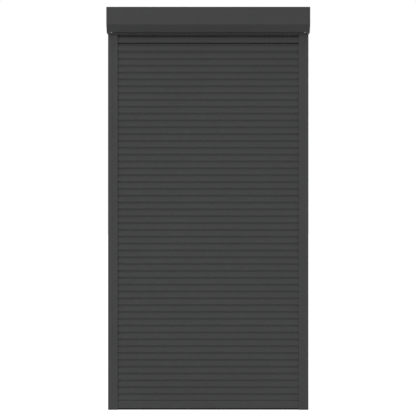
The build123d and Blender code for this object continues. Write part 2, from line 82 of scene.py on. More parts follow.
def between(tree, factor, low, high, start=0.0, end=1.0):
    """Low where the factor is at its start, high where it is at its end, and in line between."""
    node = tree.nodes.new("ShaderNodeMapRange")
    tree.links.new(factor, node.inputs["Value"])
    node.inputs["From Min"].default_value = start
    node.inputs["From Max"].default_value = end
    node.inputs["To Min"].default_value = low
    node.inputs["To Max"].default_value = high
    return node.outputs["Result"]


world = bpy.data.worlds.new("surroundings")
bpy.context.scene.world = world
world.use_nodes = True
background = world.node_tree.nodes["Background"]
background.inputs["Color"].default_value = white
world.node_tree.links.new(
    between(world.node_tree, seen_directly(world.node_tree), surroundings_light, 1.0),
    background.inputs["Strength"],
)

floor_paint = bpy.data.materials.new("white_floor")
floor_paint.use_nodes = True
tree = floor_paint.node_tree
tree.nodes.remove(tree.nodes["Principled BSDF"])
matt = tree.nodes.new("ShaderNodeBsdfDiffuse")
matt.inputs["Color"].default_value = floor_colour
glow = tree.nodes.new("ShaderNodeEmission")
glow.inputs["Color"].default_value = white
tree.links.new(between(tree, seen_directly(tree), 0.0, floor_glow), glow.inputs["Strength"])
both = tree.nodes.new("ShaderNodeAddShader")
tree.links.new(matt.outputs[0], both.inputs[0])
tree.links.new(glow.outputs[0], both.inputs[1])
tree.links.new(both.outputs[0], tree.nodes["Material Output"].inputs["Surface"])

floor_mesh = bpy.data.meshes.new("floor")
floor_corners = np.array([(-1, -1), (1, -1), (1, 1), (-1, 1)]) * floor_reach
floor_mesh.from_pydata(np.c_[floor_corners, np.full(4, -floor_drop)], [], [(0, 1, 2, 3)])
floor_mesh.materials.append(floor_paint)
floor = bpy.data.objects.new("floor", floor_mesh)
bpy.context.collection.objects.link(floor)
floor.visible_shadow = False

camera = bpy.data.objects.new("camera", bpy.data.cameras.new("camera"))
bpy.context.collection.objects.link(camera)
camera.location = camera_place
camera.rotation_euler = (pi / 2, 0, 0)
camera.data.lens = camera_lens
camera.data.sensor_width = sensor_width
camera.data.clip_end = 2 * floor_reach
bpy.context.scene.camera = camera

for name, (height, side, spread, power) in lamps.items():
    light = bpy.data.lights.new(name, "SUN")
    light.energy = power
    light.angle = radians(spread)
    lamp = bpy.data.objects.new(name, light)
    bpy.context.collection.objects.link(lamp)
    lamp.rotation_euler = (radians(90 - height), 0, radians(side))

bpy.context.scene.view_settings.view_transform = "Standard"

# End caps: die-cast aluminium in anthracite powder coat, one at each end of the box. Each has a
# shallow framed field outside, a rim round the box, a ledge under the sheets and a plug for the rail.
cap_colour = (0.0475, 0.048, 0.0495, 1)
cap_low, cap_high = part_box("end_cap_right")
rail_low, rail_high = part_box("guide_rail_right")
box_front, wall_y = cap_low.y, cap_high.y
box_top, rail_top = cap_high.z, rail_high.z
half_width = cap_high.x
chamfer, cover_lip = 36 * mm, 6 * mm
lip_y = box_front + chamfer
cap_plate, rim_width, rim_wall = 3 * mm, 14 * mm, 3 * mm
ledge_reach, ledge_wall, sheet = 30 * mm, 2 * mm, 1.2 * mm
field_inset, field_depth = 7 * mm, 0.6 * mm
cap_edge, edge_middle = 1 * mm, 0.23
smallest_radius = 0.4 * mm
pad_radius, pad_height = 26 * mm, 0.5 * mm
shaft_z = (box_top + rail_top) / 2
boss_side, boss_height, boss_gap, boss_x = 12 * mm, 9 * mm, 0.1 * mm, half_width - 27 * mm
plug_slot_width, plug_slot_height, plug_clearance = 8 * mm, 45 * mm, 0.3 * mm
plug_edge, leg_overlap = 1 * mm, 3 * mm
rail_wall, channel_depth, chamber_web = 1.6 * mm, 25 * mm, 1.8 * mm
gap, cut_past, cut_edge = 0.3 * mm, 5 * mm, 0.1 * mm
sharp_angle = radians(35)
bevel_share = 0.6
noise_span = (0.3, 0.7)
cast_grain = 0.016 * mm
cap_corners = [
    (box_front, box_top),
    (box_front, rail_top + cover_lip + chamfer),
    (lip_y, rail_top + cover_lip),
    (lip_y, rail_top),
    (wall_y, rail_top),
    (wall_y, box_top),
]
cap_radii = np.array([2, 2, 1, 1, 2, 2]) * mm


def rounded(corners, radii, steps=4, closed=True):
    """Line or outline with its corners turned on arcs. An arc's centre lies on the corner's bisector, at
    radius / sin(half angle), and its points blend its two end radii as sin((1-s)a) and sin(sa) do."""
    corners = np.asarray(corners, float)
    radii = np.broadcast_to(np.asarray(radii, float), len(corners))
    back = np.roll(corners, 1, 0) - corners
    on = np.roll(corners, -1, 0) - corners
    if not closed:
        back[0], on[-1] = -on[0], -back[-1]
    back /= np.linalg.norm(back, axis=1, keepdims=True)
    on /= np.linalg.norm(on, axis=1, keepdims=True)
    half = np.maximum(np.arccos(np.clip((back * on).sum(1), -1, 1)) / 2, 1e-3)
    middle = back + on
    middle /= np.maximum(np.linalg.norm(middle, axis=1, keepdims=True), 1e-9)
    centre = corners + middle * (radii / np.sin(half))[:, None]
    reach = (radii / np.tan(half))[:, None]
    start, end = corners + back * reach - centre, corners + on * reach - centre
    sweep = (pi - 2 * half)[:, None, None]
    share = np.linspace(0, 1, steps + 1)[None, :, None]
    arcs = np.sin((1 - share) * sweep) * start[:, None] + np.sin(share * sweep) * end[:, None]
    arcs = centre[:, None] + arcs / np.maximum(np.sin(sweep), 1e-9)
    plain = (radii < 1e-9) | (sweep[:, 0, 0] < 1e-6)
    if not closed:
        plain[[0, -1]] = True
    arcs[plain] = corners[plain][:, None]
    points = arcs.reshape(-1, 2)
    gap = np.linalg.norm(points - np.roll(points, 1, 0), axis=1)
    if not closed:
        gap[0] = 1
    return points[gap > 1e-7]


def moved_in(points, distance, closed=True):
    """Each point moved to the left of its line by the distance, along the mitre of its two sides."""
    on = np.roll(points, -1, 0) - points
    on /= np.linalg.norm(on, axis=1, keepdims=True)
    back = np.roll(on, 1, 0)
    if not closed:
        back[0], on[-1] = on[0], back[-1]
    left, right = np.c_[-back[:, 1], back[:, 0]], np.c_[-on[:, 1], on[:, 0]]
    return points + (left + right) * (distance / (1 + (left * right).sum(1)))[:, None]


def along_x(outline, x):
    """An outline drawn in Y and Z, as a ring of points at one X."""
    return np.c_[np.full(len(outline), x), outline]


def along_z(outline, z):
    """An outline drawn in X and Y, as a ring of points at one height."""
    return np.c_[outline, np.full(len(outline), z)]


def closed_skin(rings):
    """A closed surface over rings of equal length: four-sided faces between neighbours on two rings,
    and one flat face over the first and the last ring."""
    rings = np.asarray(rings, float)
    count, length = rings.shape[:2]
    ring, point = np.meshgrid(np.arange(count - 1), np.arange(length), indexing="ij")
    after = (point + 1) % length
    quads = np.stack([ring * length + point, ring * length + after,
                      (ring + 1) * length + after, (ring + 1) * length + point], -1)
    last = (count - 1) * length
    faces = quads.reshape(-1, 4).tolist()
    faces += [list(range(length))[::-1], list(range(last, last + length))]
    return rings.reshape(-1, 3), faces


def volume(points, faces):
    """Signed volume: a sixth of each fan triangle's triple product, negative if the skin is inside out."""
    total = 0.0
    for face in faces:
        fan = points[face]
        total += (np.cross(fan[1:-1], fan[2:]) @ fan[0]).sum()
    return total / 6


def piece(name, skins, *materials):
    """One object from closed skins, faces outward, flats kept flat by weighted normals. A third entry of a
    skin gives the material number of each face."""
    points, faces, numbers = [], [], []
    for skin in skins:
        start = sum(len(block) for block in points)
        skin_points, skin_faces = skin[:2]
        way = -1 if volume(skin_points, skin_faces) < 0 else 1
        points.append(skin_points)
        faces += [[start + corner for corner in face][::way] for face in skin_faces]
        numbers += skin[2] if len(skin) > 2 else [0] * len(skin_faces)
    mesh = bpy.data.meshes.new(name)
    mesh.from_pydata(np.concatenate(points), [], faces)
    for material in materials:
        mesh.materials.append(material)
    mesh.polygons.foreach_set("material_index", numbers)
    mesh.polygons.foreach_set("use_smooth", np.ones(len(faces), bool))
    mesh.set_sharp_from_angle(angle=sharp_angle)
    made = bpy.data.objects.new(name, mesh)
    bpy.context.collection.objects.link(made)
    flats = made.modifiers.new("flats", "WEIGHTED_NORMAL")
    flats.keep_sharp = True
    return made


def cut(made, skins):
    """The piece with the closed skins taken out of it, as a finished mesh."""
    tool = piece("tool", skins)
    boolean = made.modifiers.new("cut", "BOOLEAN")
    boolean.object = tool
    boolean.solver = "EXACT"
    boolean.use_self = True
    made.modifiers.move(len(made.modifiers) - 1, 0)
    flats = made.modifiers["flats"]
    flats.show_viewport = False
    bpy.context.view_layer.update()
    mesh = bpy.data.meshes.new_from_object(made.evaluated_get(bpy.context.evaluated_depsgraph_get()))
    mesh.name = made.name
    mesh.set_sharp_from_angle(angle=sharp_angle)
    made.modifiers.remove(made.modifiers["cut"])
    made.data = mesh
    flats.show_viewport = True
    bpy.data.objects.remove(tool)


def new_finish(name, specular, metallic=0.0):
    """A new material, its node tree and shader, and the place on the object in metres."""
    material = bpy.data.materials.new(name)
    material.use_nodes = True
    tree = material.node_tree
    shader = tree.nodes["Principled BSDF"]
    shader.inputs["Specular IOR Level"].default_value = specular
    shader.inputs["Metallic"].default_value = metallic
    return material, tree, shader, tree.nodes.new("ShaderNodeTexCoord").outputs["Object"]


def grain(tree, place, cells, detail=2.0):
    """Noise from 0 to 1 with so many cells per metre along X, Y and Z."""
    mapping = tree.nodes.new("ShaderNodeMapping")
    mapping.inputs["Scale"].default_value = cells if np.ndim(cells) else (cells,) * 3
    tree.links.new(place, mapping.inputs["Vector"])
    noise = tree.nodes.new("ShaderNodeTexNoise")
    noise.inputs["Scale"].default_value = 1.0
    noise.inputs["Detail"].default_value = detail
    tree.links.new(mapping.outputs["Vector"], noise.inputs["Vector"])
    return between(tree, noise.outputs["Fac"], 0.0, 1.0, *noise_span)


def mixed(tree, factor, first, second):
    """The first colour where the factor is 0, and the second where it is 1."""
    node = tree.nodes.new("ShaderNodeMix")
    node.data_type = "RGBA"
    tree.links.new(factor, node.inputs[0])
    for socket, colour in ((node.inputs[6], first), (node.inputs[7], second)):
        if isinstance(colour, tuple):
            socket.default_value = colour
        else:
            tree.links.new(colour, socket)
    return node.outputs[2]


def relief(tree, shader, height, depth):
    """Fine relief of that depth in metres on the shader's normal."""
    bump = tree.nodes.new("ShaderNodeBump")
    bump.inputs["Distance"].default_value = depth
    bump.inputs["Strength"].default_value = 1.0
    tree.links.new(height, bump.inputs["Height"])
    tree.links.new(bump.outputs["Normal"], shader.inputs["Normal"])


def shaded(colour, factor):
    """The colour made lighter or darker."""
    return tuple(channel * factor for channel in colour[:3]) + (1,)


coat_gloss = 0.15
coat_roughness = (0.46, 0.54)
coat_shades = (0.965, 1.035)
dust_colour = (0.33, 0.32, 0.3, 1)
dust_slopes = (0.55, 1.0)
drift_cells, dust_cells, gloss_cells, peel_cells = 5.0, 38.0, 60.0, 650.0
dark_specular, dark_cells, dark_lighter = 0.1, 400.0, 1.4


def powder_coat(name, colour, grain_depth=0.012 * mm, dust=0.08):
    """Powder coat: a fine orange peel of about 1.5 mm, a slow drift of shade and gloss, and pale dust where
    the surface looks up."""
    material, tree, shader, place = new_finish(name, coat_gloss)
    drift = grain(tree, place, drift_cells, 3.0)
    base = mixed(tree, drift, *[shaded(colour, factor) for factor in coat_shades])
    geometry = tree.nodes.new("ShaderNodeNewGeometry")
    split = tree.nodes.new("ShaderNodeSeparateXYZ")
    tree.links.new(geometry.outputs["Normal"], split.inputs[0])
    upward = between(tree, split.outputs["Z"], 0.0, dust, *dust_slopes)
    settled = tree.nodes.new("ShaderNodeMath")
    settled.operation = "MULTIPLY"
    tree.links.new(upward, settled.inputs[0])
    tree.links.new(grain(tree, place, dust_cells, 4.0), settled.inputs[1])
    tree.links.new(mixed(tree, settled.outputs[0], base, dust_colour), shader.inputs["Base Color"])
    uneven = between(tree, grain(tree, place, gloss_cells), *coat_roughness)
    tree.links.new(uneven, shader.inputs["Roughness"])
    relief(tree, shader, grain(tree, place, peel_cells), grain_depth)
    return material


def painted_shade_finish(name, colour, roughness=0.8):
    """Painted shade: a dull dark colour, a little uneven, for places where shade falls."""
    material, tree, shader, place = new_finish(name, dark_specular)
    shade = mixed(tree, grain(tree, place, dark_cells), colour, shaded(colour, dark_lighter))
    tree.links.new(shade, shader.inputs["Base Color"])
    shader.inputs["Roughness"].default_value = roughness
    return material


def ring_skin(outer_start, outer_end, inner_start, inner_end):
    """A frame between an outer and an inner pair of rings of equal length."""
    points = np.concatenate([outer_start, outer_end, inner_end, inner_start])
    length = len(outer_start)
    ring, point = np.meshgrid(np.arange(4), np.arange(length), indexing="ij")
    after = (point + 1) % length
    later = (ring + 1) % 4
    quads = np.stack([ring * length + point, ring * length + after, later * length + after,
                      later * length + point], -1)
    return points, quads.reshape(-1, 4).tolist()


def block_skin(x0, x1, y0, y1, z0, z1, edge=0.5 * mm):
    """A block with rounded upright edges and chamfered top and bottom ones."""
    outline = rounded([(x0, y0), (x1, y0), (x1, y1), (x0, y1)], edge, 3)
    small = moved_in(outline, edge * bevel_share)
    return closed_skin([along_z(small, z0), along_z(outline, z0 + edge), along_z(outline, z1 - edge),
                        along_z(small, z1)])


def circle_x(radius, x, y, z, sides=40):
    """A circle round an axis along X: y + radius cos a, z + radius sin a."""
    turn = np.linspace(0, 2 * pi, sides, endpoint=False)
    return np.c_[np.full(sides, x), y + radius * np.cos(turn), z + radius * np.sin(turn)]


def flipped(skin):
    """The same skin on the left side of the shutter."""
    return (skin[0] * (-1, 1, 1), *skin[1:])


def cap_ring(inset, x):
    """The cap's outline at one X, moved in, with corner radii that shrink by as much, down to a small one."""
    radii = np.maximum(cap_radii - inset, smallest_radius)
    return along_x(rounded(moved_in(np.array(cap_corners), inset), radii), x)


def cap_skins():
    """The right cap: rings from the framed field over the plate's edge, along the rim and back inside it,
    then the ledge, the pad outside the bearing, the screw boss and the two-legged plug."""
    inner_x, rim_x = half_width - cap_plate, half_width - rim_width
    stations = [(field_inset + field_depth, half_width - field_depth), (field_inset, half_width),
                (cap_edge, half_width), (edge_middle * cap_edge, half_width - edge_middle * cap_edge),
                (0, half_width - cap_edge), (0, rim_x), (rim_wall, rim_x), (rim_wall, inner_x)]
    body = closed_skin([cap_ring(inset, x) for inset, x in stations])
    ledge = ring_skin(*[cap_ring(inset, x) for inset in (sheet, sheet + ledge_wall)
                        for x in (half_width - ledge_reach, inner_x)])
    field_x = half_width - field_depth
    pad = closed_skin([circle_x(pad_radius, half_width - cap_plate / 2, 0, shaft_z),
                       circle_x(pad_radius, field_x, 0, shaft_z),
                       circle_x(pad_radius - pad_height, field_x + pad_height, 0, shaft_z)])
    boss = block_skin(boss_x - boss_side / 2, inner_x, lip_y + sheet + boss_gap, lip_y + sheet + boss_side,
                      rail_top + sheet + boss_gap, rail_top + boss_height)
    x0 = rail_low.x + channel_depth + chamber_web + plug_clearance
    x1 = rail_high.x - rail_wall - plug_clearance
    y0, y1 = rail_low.y + rail_wall + plug_clearance, rail_high.y - rail_wall - plug_clearance
    middle, foot = (x0 + x1) / 2, cap_low.z
    plug = [block_skin(x0, x1, y0, y1, foot + plug_slot_height, rail_top + rim_wall, plug_edge)]
    for a, b in ((x0, middle - plug_slot_width / 2), (middle + plug_slot_width / 2, x1)):
        plug.append(block_skin(a, b, y0, y1, foot, foot + plug_slot_height + leg_overlap, plug_edge))
    return [body, ledge, pad, boss, *plug]


cap_finish = powder_coat("cast_powder_coat", cap_colour, cast_grain)
guide_low, guide_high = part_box("strap_guide_box")
for side, mirror in (("right", tuple), ("left", flipped)):
    cap = piece("end_cap_piece_" + side, [mirror(skin) for skin in cap_skins()], cap_finish)
    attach(cap, "shutter_frame")
    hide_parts("end_cap_" + side)
strap_room = [block_skin(guide_low.x - gap, guide_high.x + gap, guide_low.y - gap, wall_y + cut_past,
                         guide_low.z - gap, guide_high.z + gap, cut_edge)]
cut(bpy.data.objects["end_cap_piece_right"], strap_room)

# Box sheets: roll-formed aluminium, 1.2 mm thick, powder coated. The front cover has the upright
# face, the 45 degree face and a strip below; the back panel has the rear wall and the top.
sheet_colour = (0.0493, 0.0499, 0.051, 1)
# Near-black painted shade for a strip along the cover's low lip, under the 45 degree face.
painted_shade_strip_colour = (0.014, 0.014, 0.014, 1)
bend, joggle_bend = 1.9 * mm, 1.4 * mm
seam = 0.4 * mm
rim_end = half_width - rim_width - seam
ledge_end = half_width - ledge_reach - gap
cover_strip, inlet_clearance = 43 * mm, 3 * mm
cover_end = lip_y + cover_strip
lap, joggle, inlet_lip = 8 * mm, 1.6 * mm, 12 * mm
inlet_lip_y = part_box("slats_18")[0].y - inlet_clearance
cover_flange, rear_flange = 12 * mm, 5.5 * mm
strip_low, strip_high, strip_out, strip_in, strip_edge = 1 * mm, 4.8 * mm, 0.4 * mm, 1 * mm, 0.2 * mm
rail_inner = rail_low.x - gap
under_top = box_top - sheet


def sheet_skin(points, x0, x1, radius=bend):
    """A bent sheet: its outer line with rounded bends, and back along the line moved in by its thickness."""
    outer = rounded(points, radius, 5, closed=False)
    inner = moved_in(outer, sheet, closed=False)
    return closed_skin([along_x(np.concatenate([outer, inner[::-1]]), x) for x in (x0, x1)])


sheet_finish = powder_coat("sheet_powder_coat", sheet_colour)
face_points = [(box_front + bend, under_top), (box_front, under_top),
               (box_front, rail_top + cover_lip + chamfer), (lip_y, rail_top + cover_lip),
               (lip_y, rail_top), (cover_end, rail_top)]
flange_points = [(box_front + cover_flange, under_top), (box_front + bend, under_top)]
cover = piece("front_cover_piece", [sheet_skin(face_points, -rim_end, rim_end),
                                    sheet_skin(flange_points, -ledge_end, ledge_end)], sheet_finish)
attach(cover, "shutter_frame")
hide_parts("front_cover")
# A near-black strip on the cover's low lip: painted shade for the dark line that falls under the 45 degree
# face.
shade_strip = piece("painted_shade_strip_piece", [block_skin(-ledge_end, ledge_end, lip_y - strip_out, lip_y + strip_in,
                                               rail_top + strip_low, rail_top + strip_high, strip_edge)],
              painted_shade_finish("painted_shade_strip", painted_shade_strip_colour, 0.7))
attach(shade_strip, "shutter_frame")
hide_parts("front_cover")

back_points = [(wall_y - rear_flange, rail_top), (wall_y, rail_top), (wall_y, box_top),
               (box_front, box_top)]
back = piece("back_panel_piece", [sheet_skin(back_points, -rim_end, rim_end)], sheet_finish)
rail_rooms = [block_skin(rail_inner, half_width, rail_low.y - gap, wall_y - sheet, rail_top - cut_past,
                         rail_top + sheet + cut_past, cut_edge)]
cut(back, [*rail_rooms, *map(flipped, rail_rooms), *strap_room])
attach(back, "shutter_frame")
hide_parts("box_back_panel")

bottom_points = [(cover_end - lap, rail_top + sheet), (cover_end + gap, rail_top + sheet),
                 (cover_end + gap + joggle, rail_top), (inlet_lip_y, rail_top),
                 (inlet_lip_y, rail_top + inlet_lip)]
bottom_skin = sheet_skin(bottom_points, -rim_end, rim_end, joggle_bend)
bottom = piece("bottom_panel_piece", [bottom_skin], sheet_finish)
corner_rooms = [block_skin(rail_inner, half_width, rail_low.y - gap, wall_y, rail_top - cut_past, box_top,
                           cut_edge),
                block_skin(ledge_end, half_width, box_front, rail_low.y, rail_top + sheet, box_top, cut_edge)]
cut(bottom, [*corner_rooms, *map(flipped, corner_rooms)])
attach(bottom, "shutter_frame")
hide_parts("box_bottom_panel")

# Guide rails: aluminium extrusions with a slot for the curtain on the inner side, two fine lines
# down the front face, and fixing holes through the outer side.
rail_colour = (0.0508, 0.0515, 0.0527, 1)
curtain_y = (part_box("slats_18")[0].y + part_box("slats_18")[1].y) / 2
channel_half = 6 * mm
line_places, line_half, line_depth = (15.6 * mm, 29.2 * mm), 0.9 * mm, 0.5 * mm
line_radii = (0.25 * mm, 0.2 * mm, 0.25 * mm)
front_edge, rear_edge, channel_edge = 0.9 * mm, 0.6 * mm, 0.5 * mm
hole_radius, hole_edge, hole_count = 2.75 * mm, 150 * mm, 4
hole_depth, hole_past = 4 * mm, 1 * mm


def rail_section():
    """The right rail's outline: the slot turns in from the inner side, and each line is a small V."""
    x0, x1, y0, y1 = rail_low.x, rail_high.x, rail_low.y, rail_high.y
    front, rear, deep = curtain_y - channel_half, curtain_y + channel_half, x0 + channel_depth
    lines = [(x0 + place + across, y0 + down) for place in line_places
             for across, down in ((-line_half, 0), (0, line_depth), (line_half, 0))]
    corners = [(x0, y0), *lines, (x1, y0), (x1, y1), (x0, y1),
               (x0, rear), (deep, rear), (deep, front), (x0, front)]
    radii = [front_edge, *line_radii * len(line_places), front_edge, *[rear_edge] * 2, *[channel_edge] * 4]
    return rounded(corners, radii)


rail_finish = powder_coat("rail_powder_coat", rail_colour)
section = rail_section()
rail_skin = closed_skin([along_z(section, rail_low.z), along_z(section, rail_high.z)])
holes = [closed_skin([circle_x(hole_radius, x, curtain_y, height, 28)
                      for x in (rail_high.x - hole_depth, rail_high.x + hole_past)])
         for height in np.linspace(hole_edge, rail_top - hole_edge, hole_count)]
for side, mirror in (("right", tuple), ("left", flipped)):
    rail = piece("guide_rail_piece_" + side, [mirror(rail_skin)], rail_finish)
    cut(rail, [mirror(skin) for skin in holes])
    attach(rail, "shutter_frame")
    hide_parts("guide_rail_" + side)

# Curtain: 54 slats of roll-formed aluminium filled with foam. Each has a crowned front, a round
# nose that covers the joint below it, and on top a punched neck with the hook that the next slat carries.
slat_colour = (0.0493, 0.0499, 0.051, 1)
# Near-black painted shade for the slots' floors, in place of the dark seen through a slot.
slot_shade_colour = (0.005, 0.005, 0.005, 1)
# A colour darker than the coat, painted shade for the joint, on the neck's face, webs and slot walls.
neck_shade_colour = (0.042, 0.0424, 0.043, 1)
slat_grain, slat_dust = 0.008 * mm, 0.05
slat_nodes, slat_cover, slat_thickness = 18, 37.4 * mm, 8 * mm
slat_front = curtain_y - slat_thickness / 2
slat_back = curtain_y + slat_thickness / 2
slat_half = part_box("bottom_bar")[1].x
nose_height, nose_setback = 3 * mm, 1.2 * mm
crown_height, crown_setback = 26 * mm, 1.2 * mm
shoulder_height, shoulder_setback = 33.2 * mm, 3.6 * mm
nose_points, crown_points, shoulder_points = 5, 8, 7
neck_front, neck_wall = slat_front + shoulder_setback, 1.6 * mm
neck_back = neck_front + neck_wall
head_rise, head_height, head_front, head_rear = 7.7 * mm, 1.6 * mm, 0.6 * mm, 1 * mm
hook_radii = np.array([0.2, 0.2, 0.5, 0.5, 0.2, 0.2, 0.4, 0.5]) * mm
pocket_height, front_wall, back_wall = 11 * mm, 2.6 * mm, 1.4 * mm
lip_reach, lip_height = 2.4 * mm, 1.2 * mm
pocket_radii = np.array([0.3, 0.2, 0.2, 0.2, 0.8, 0.8, 0.3, 0.3]) * mm
neck_radius = 0.4 * mm
slot_pitch, slot_length, slot_depth = 25.6 * mm, 23.1 * mm, 1.2 * mm
slot_span = (slat_cover + 3.8 * mm, slat_cover + 6.6 * mm)
open_slot_spans = ((slat_cover + 0.8 * mm, slat_cover + 6.6 * mm),
                   (slat_cover - 3.3 * mm, slat_cover + 1.5 * mm))
slot_shade_number, neck_shade_number = 1, 2
top_openings = (0, 6.5 * mm, 5 * mm)
lock_colour = (0.018, 0.018, 0.019, 1)
lock_width, lock_height, lock_edge = 3 * mm, 24 * mm, 0.6 * mm
moulded_shades, moulded_patches, moulded_sheen = (0.94, 1.06), 25.0, 120.0


def bulge(heights, foot, rise, setback):
    """How far a face lies behind its foremost line: the sagitta R - sqrt(R^2 - h^2) of an arc that is upright
    at the foot and falls back by the setback at the rise."""
    radius = (rise ** 2 + setback ** 2) / (2 * setback)
    return radius - np.sqrt(radius ** 2 - (heights - foot) ** 2)


def turned_on(heights, rise, setback, slope):
    """The same for an arc that goes on from a slope: the circle through the origin with that slope and
    through the point at the rise and the setback."""
    lean = np.arctan(slope)
    chord = np.hypot(rise, setback)
    radius = chord / (2 * np.sin(np.arctan2(setback, rise) - lean))
    centre = np.array([radius * np.cos(lean), -radius * np.sin(lean)])
    return centre[0] - np.sqrt(radius ** 2 - (heights - centre[1]) ** 2)


def hook_points(base):
    """The neck and hook on top of a slat or the bottom bar, from the neck's foot to the back."""
    head, head_top = base + head_rise, base + head_rise + head_height
    ahead, behind = neck_front - head_front, neck_back + head_rear
    return [(neck_front, head), (ahead, head), (ahead, head_top), (behind, head_top), (behind, head),
            (neck_back, head), (neck_back, base - gap), (slat_back, base - gap)]


def slat_section():
    """One slat's outline from the neck's foot round the hook, the back and the pocket, and up the front."""
    nose = np.linspace(0, nose_height, nose_points)[1:]
    crown = np.linspace(nose_height, crown_height, crown_points)[1:]
    rise, shoulder_rise = crown_height - nose_height, shoulder_height - crown_height
    lean = 2 * np.arctan2(crown_setback, rise)
    shoulder = np.linspace(0, shoulder_rise, shoulder_points)[1:-1]
    turned = turned_on(shoulder, shoulder_rise, shoulder_setback - crown_setback, np.tan(lean))
    front = [*zip(slat_front + bulge(nose, nose_height, -nose_height, nose_setback), nose),
             *zip(slat_front + bulge(crown, nose_height, rise, crown_setback), crown),
             *zip(slat_front + crown_setback + turned, crown_height + shoulder)]
    lip, deep, near = slat_back - lip_reach, slat_back - back_wall, slat_front + front_wall
    pocket = [(slat_back, 0), (lip, 0), (lip, lip_height), (deep, lip_height), (deep, pocket_height),
              (near, pocket_height), (near, 0), (slat_front + nose_setback, 0)]
    corners = [(neck_front, shoulder_height), *hook_points(slat_cover), *pocket, *front]
    radii = [neck_radius, *hook_radii, *pocket_radii, *[0] * len(front)]
    return rounded(corners, radii, 3)


def punched(skin, neck, foot, top):
    """The skin with the front face of its neck replaced by a face with a row of slots: each is a recess with
    four walls and a floor. The face, webs and walls take the neck's painted shade, and the floors a
    near-black painted shade. The rows a and b hold the slots' lower and upper corners in the face, and c and
    d those of their floors."""
    points, faces = skin
    corners = faces[neck]
    count = int((slat_half - slot_length / 2) / slot_pitch)
    middles = np.arange(-count, count + 1) * slot_pitch
    columns = np.sort(np.concatenate([middles - slot_length / 2, middles + slot_length / 2]))
    size = len(columns)
    rows = [np.c_[columns, np.full(size, depth), np.full(size, height)]
            for depth, height in ((neck_front, foot), (neck_front, top), (neck_front + slot_depth, foot),
                                  (neck_front + slot_depth, top))]
    start = len(points)
    a, b, c, d = (start + place * size + np.arange(size) for place in range(4))
    first, second = slice(0, None, 2), slice(1, None, 2)
    walls = [(a[first], a[second], c[second], c[first]), (b[second], b[first], d[first], d[second]),
             (a[first], c[first], d[first], b[first]), (a[second], b[second], d[second], c[second])]
    webs = (a[second][:-1], a[first][1:], b[first][1:], b[second][:-1])
    floor_faces = (c[first], c[second], d[second], d[first])
    left = [corner for corner in corners if points[corner][0] < 0]
    right = [corner for corner in corners if points[corner][0] > 0]
    (low_left, high_left), (low_right, high_right) = (sorted(pair, key=lambda corner: points[corner][2])
                                                      for pair in (left, right))
    frames = [[low_left, low_right, *a[::-1]], [low_right, high_right, b[-1], a[-1]],
              [high_right, high_left, *b], [high_left, low_left, a[0], b[0]]]
    faces = faces[:neck] + faces[neck + 1:]
    numbers = [0] * len(faces)
    for quad, number in zip((*walls, webs, floor_faces), (neck_shade_number,) * 5 + (slot_shade_number,)):
        quads = np.stack(quad, 1).tolist()
        faces += quads
        numbers += [number] * len(quads)
    faces += [[int(corner) for corner in around] for around in frames]
    numbers += [neck_shade_number] * len(frames)
    return np.concatenate([points, *rows]), faces, numbers


slat_outline = slat_section()
plain_slat = closed_skin([along_x(slat_outline, x) for x in (-slat_half, slat_half)])
at_neck = (abs(slat_outline[:, 0] - neck_front) < 1e-7) & (slat_outline[:, 1] < slat_cover)
neck_face = int(np.flatnonzero(at_neck)[-1])
slat_skin, *open_skins = (punched(plain_slat, neck_face, *span) for span in (slot_span, *open_slot_spans))
slat_finish = powder_coat("slat_coat", slat_colour, slat_grain, slat_dust)
slot_shade_finish = painted_shade_finish("slot_painted_shade", slot_shade_colour)
# The slots' floors and the necks' faces get painted shade.
neck_shade_finish = painted_shade_finish("neck_painted_shade", neck_shade_colour, 0.6)


def moulded(name, colour, texture_depth=0.01 * mm, roughness=(0.5, 0.62), specular=0.4, cells=900.0):
    """Moulded plastic or rubber: a fine even texture and a slightly uneven gloss."""
    material, tree, shader, place = new_finish(name, specular)
    patches = grain(tree, place, moulded_patches, 3.0)
    base = mixed(tree, patches, *[shaded(colour, factor) for factor in moulded_shades])
    tree.links.new(base, shader.inputs["Base Color"])
    tree.links.new(between(tree, grain(tree, place, moulded_sheen), *roughness), shader.inputs["Roughness"])
    relief(tree, shader, grain(tree, place, cells), texture_depth)
    return material


lock_finish = moulded("black_moulding", lock_colour)
lock_middle = (pocket_height + crown_height) / 2
lock_skin = block_skin(slat_half, slat_half + lock_width, slat_front + crown_setback, slat_back,
                       lock_middle - lock_height / 2, lock_middle + lock_height / 2, lock_edge)
for number in range(1, slat_nodes + 1):
    node = f"slats_{number:02d}"
    slat_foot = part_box(node)[0].z
    openings = np.cumsum(top_openings) if number == 1 else (0, 0, 0)
    shapes = (*open_skins, slat_skin) if number == 1 else [slat_skin] * 3
    skins = [(shape[0] + (0, 0, slat_foot + row * slat_cover + opened), *shape[1:])
             for row, (shape, opened) in enumerate(zip(shapes, openings))]
    middle_foot = skins[1][0][:, 2].min()
    locks = [(mirror(lock_skin)[0] + (0, 0, middle_foot), lock_skin[1]) for mirror in (tuple, flipped)]
    body = "bottom_bar" if number == slat_nodes else f"curtain_{number:02d}"
    slats = piece("slats_piece_" + node[-2:], skins, slat_finish, slot_shade_finish, neck_shade_finish)
    end_locks = piece("end_locks_" + node[-2:], locks, lock_finish)
    for made, kind in ((slats, "coated_slat"), (end_locks, "black_plastic")):
        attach(made, body)
        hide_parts(node)

